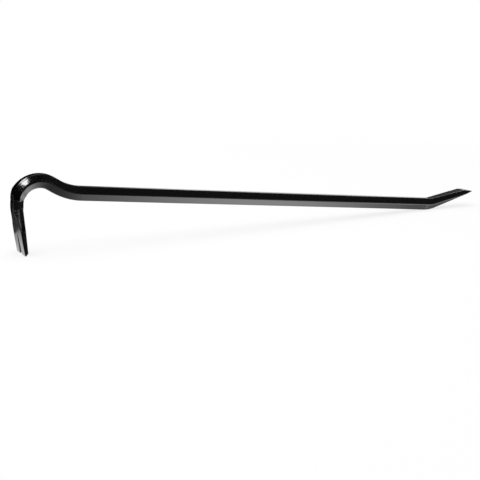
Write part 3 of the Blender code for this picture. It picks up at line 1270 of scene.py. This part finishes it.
@dataclass(frozen=True)
class GlowingFloorStrip:
    """A glowing strip just over the floor, seen only in reflections: a painted reflection of lit floor
    that steep faces mirror, pale behind the bar and about the claw's tips, dim beyond.
    """

    half: Pair = (1.0, 0.6)
    height: float = 0.0002
    pale_fade: Pair = (0.096, 0.106)
    pale_glow: Pair = (1.05, 0.62)
    beyond_fade: Pair = (0.11, 0.24)
    beyond_glow: Pair = (0.07, 0.02)
    solid_rise: Pair = (0.0, 0.004)
    tips_fade: Pair = (-0.3635, -0.36)
    tips_rise: Pair = (-0.028, -0.02)

    def build(self) -> None:
        """Lays the strip just over the floor."""
        _, graph = stage_piece("floor_strip", *sheet(self.half, self.height), Seen.IN_REFLECTIONS)
        x, y, _ = graph.place()
        (near, far), (close, distant) = self.pale_glow, self.beyond_glow
        # The pale glow is a painted reflection of lit floor near the bar; further out the glow is dim.
        pale = y.fading(*self.pale_fade)
        glow = near + y.ramped(0.0, self.pale_fade[0]) * (far - near)
        beyond = close + y.ramped(*self.beyond_fade) * (distant - close)
        at_tips = x.fading(*self.tips_fade) * y.ramped(*self.tips_rise)
        glowing(graph, glow * pale + (1.0 - pale) * beyond, y.ramped(*self.solid_rise).most(at_tips))


@dataclass(frozen=True)
class DarkRoom:
    """A dark dome about the stage, open to the white world at both of the bar's ends.

    With t from 0 to a full turn and u from 0 to almost a quarter, a point is the radius times
    (cos t cos u, sin t cos u, sin u), and the first ring stands at the table's depth.
    """

    columns: int = 64
    rows: int = 17
    last_rise: float = 0.495 * math.pi
    dark_and_dim: Pair = (0.004, 0.038)
    dim_rise: Pair = (1.0, 3.0)
    dim_fade: Pair = (-1.0, 0.5)
    ends_fade: Pair = (1.5, 2.4)
    ends_opening: float = 0.3
    right_rise: Pair = (1.6, 2.6)
    height_fade: Pair = (0.4, 1.0)

    def build(self) -> None:
        """Sets the dome on the table."""
        turns = np.linspace(0.0, 2.0 * np.pi, self.columns, endpoint=False)
        turn, rise = np.meshgrid(turns, np.linspace(0.0, self.last_rise, self.rows))
        level = np.cos(rise)
        points = np.stack((np.cos(turn) * level, np.sin(turn) * level, np.sin(rise)), -1) * ROOM_RADIUS
        points[0, :, 2] = -TABLE_DEPTH
        quads = grid_quads(numbered(turn.shape), True)
        _, graph = stage_piece("dark_room", points.reshape(-1, 3), quads, Seen.IN_REFLECTIONS)
        x, y, z = graph.place()
        ends = y.magnitude().fading(*self.ends_fade) * self.ends_opening
        opened = ends.most(x.ramped(*self.right_rise)) * z.fading(*self.height_fade)
        dark, dim = self.dark_and_dim
        front = x.ramped(*self.dim_rise) * y.fading(*self.dim_fade)
        glowing(graph, dark + front * (dim - dark), 1.0 - opened)


@dataclass(frozen=True)
class Studio:
    """A plain pale floor, soft light and the camera at the photograph's angle.

    The bar is black and glossy, so what it mirrors gives it its shape: a glowing table under it, a
    glowing strip over the floor behind it that paints the floor's reflection, a dark room about it
    that is open at both ends, and soft boxes.
    """

    eye: Triple = (-0.67733401, -1.14292991, 0.27649665)
    forward: Triple = (0.47092958, 0.8547312, -0.21831147)
    right: Triple = (0.87620476, -0.48192798, 0.00326074)
    down: Triple = (-0.10242335, -0.19282113, -0.97587369)
    lens: float = 70.3
    sensor: float = 36.0
    clipping: Pair = (0.01, 200.0)
    floor_half: Pair = (40.0, 40.0)
    floor_colour: Colour = grey(0.86)
    floor_white: float = 0.78
    all_white: Pair = (0.3, 1.4)
    even_light: float = 0.55
    lamp_place: Triple = (-0.45, 0.2, 1.9)
    lamp_size: Pair = (3.2, 2.4)
    lamp_power: float = 42.0
    mirrored: tuple[LightTable | GlowingFloorStrip | DarkRoom, ...] = (LightTable(), GlowingFloorStrip(), DarkRoom())
    soft_boxes: tuple[SoftBox, ...] = (
        SoftBox("hook_soft_box", HOOK, (-0.27, -0.668, 0.694), 2.2, (0.33, 0.33), 9.0),
        SoftBox("crest_soft_box", HOOK, (-0.42, -0.23, 0.87), 1.6, (0.44, 0.36), 8.0, 0.5),
        SoftBox("ridge_soft_box", HOOK, (-0.35, 0.26, 0.895), 1.6, (0.3, 0.34), 7.0, 0.4),
        SoftBox("claw_card", CLAW, (-0.112, -0.914, 0.39), 2.4, (0.22, 0.34), 1.1, 0.6),
        SoftBox("chisel_soft_box", CHISEL, (0.49, 0.1, 0.86), 1.2, (0.2, 0.28), 3.2, 0.5),
        SoftBox("back_card", CHISEL, (0.59, 0.74, 0.31), 2.0, (0.26, 0.16), 0.15, 0.5),
        SoftBox("rear_card", MIDDLE, (0.16, 0.6, 0.79), 2.4, (0.7, 0.5), 0.4, 0.6),
        SoftBox("top_card", MIDDLE, (0.0, 0.05, 1.0), 2.4, (0.8, 0.5), 0.6, 0.6),
    )

    def camera(self) -> None:
        """Sets the camera: its axes are the measured right, up and backward directions."""
        view = bpy.data.cameras.new("camera")
        view.lens, view.sensor_width = self.lens, self.sensor
        view.clip_start, view.clip_end = self.clipping
        made = placed("camera", view)
        right, up, back = Vector(self.right), -Vector(self.down), -Vector(self.forward)
        turned = Matrix((right, up, back)).transposed().to_4x4()
        made.matrix_world = Matrix.Translation(self.eye) @ turned
        bpy.context.scene.camera = made

    def floor(self) -> None:
        """Lays the pale floor: lit and shadowed near the bar, and white to the eye further out."""
        _, graph = stage_piece("floor", *sheet(self.floor_half, 0.0), Seen.BY_EYE)
        x, y, _ = graph.place()
        away = (x * x + y * y) ** 0.5
        share = self.floor_white + away.ramped(*self.all_white) * (1.0 - self.floor_white)
        diffuse = graph.node("ShaderNodeBsdfDiffuse", {"Color": self.floor_colour})
        white = graph.node("ShaderNodeEmission", {"Color": grey(1.0)})
        graph.blend(graph.background() * share, diffuse, white)

    def world(self) -> None:
        """Sets the world: a white background to the eye and in reflections, and an even soft light."""
        made = bpy.data.worlds.new("studio")
        bpy.context.scene.world = made
        made.use_nodes = True
        graph = Graph(made.node_tree)
        background = graph.background()
        strength = background + (1.0 - background) * self.even_light
        light = graph.node("ShaderNodeBackground", {"Color": grey(1.0), "Strength": strength})
        graph.node("ShaderNodeOutputWorld", {"Surface": light.outputs[0]})

    def lamp(self) -> None:
        """Hangs the large soft lamp that lights the floor and casts the bar's shadow."""
        light = bpy.data.lights.new("overhead_lamp", "AREA")
        light.shape = "RECTANGLE"
        light.size, light.size_y = self.lamp_size
        light.energy = self.lamp_power
        made = placed("overhead_lamp", light)
        made.location = self.lamp_place
        made.rotation_euler = Vector(self.lamp_place).to_track_quat("Z", "Y").to_euler()
        made.visible_glossy = False

    def build(self) -> None:
        """Makes the whole studio."""
        self.camera()
        self.floor()
        for piece in self.mirrored:
            piece.build()
        self.world()
        self.lamp()
        for box in self.soft_boxes:
            box.build()
        bpy.context.scene.view_settings.view_transform = "Standard"


def zones() -> list[ForgedZone]:
    """Returns the five zones of the forging, from the cutting edge to the claw's tips."""
    blade, heel, shaft = FORM.marks[:3]
    root, tip = FORM.root, FORM.tip
    return [
        ForgedZone("chisel_blade_skin", "chisel_blade", "blade_lacquer", 0.0, blade, 0.0009),
        ForgedZone("heel_bend_skin", "heel_bend", "heel_lacquer", blade, heel, 0.0005),
        ForgedZone("hex_shaft_skin", "hex_shaft", "shaft_lacquer", heel, shaft, 0.002),
        ForgedZone("gooseneck_skin", "gooseneck_bend", "gooseneck_lacquer", shaft, root, 0.0009),
        NailClaw("nail_claw_skin", "nail_claw", "claw_lacquer", root, tip),
    ]


def main() -> None:
    """Builds the studio and the five zones, and reports each piece."""
    logging.basicConfig(level=logging.INFO, format="%(message)s")
    Studio().build()
    for zone in zones():
        piece = zone.build()
        zone.dress(piece)
        vertices, faces = len(piece.data.vertices), len(piece.data.polygons)
        LOG.info("%s: %d vertices, %d faces", piece.name, vertices, faces)


if __name__ == "__main__":
    main()
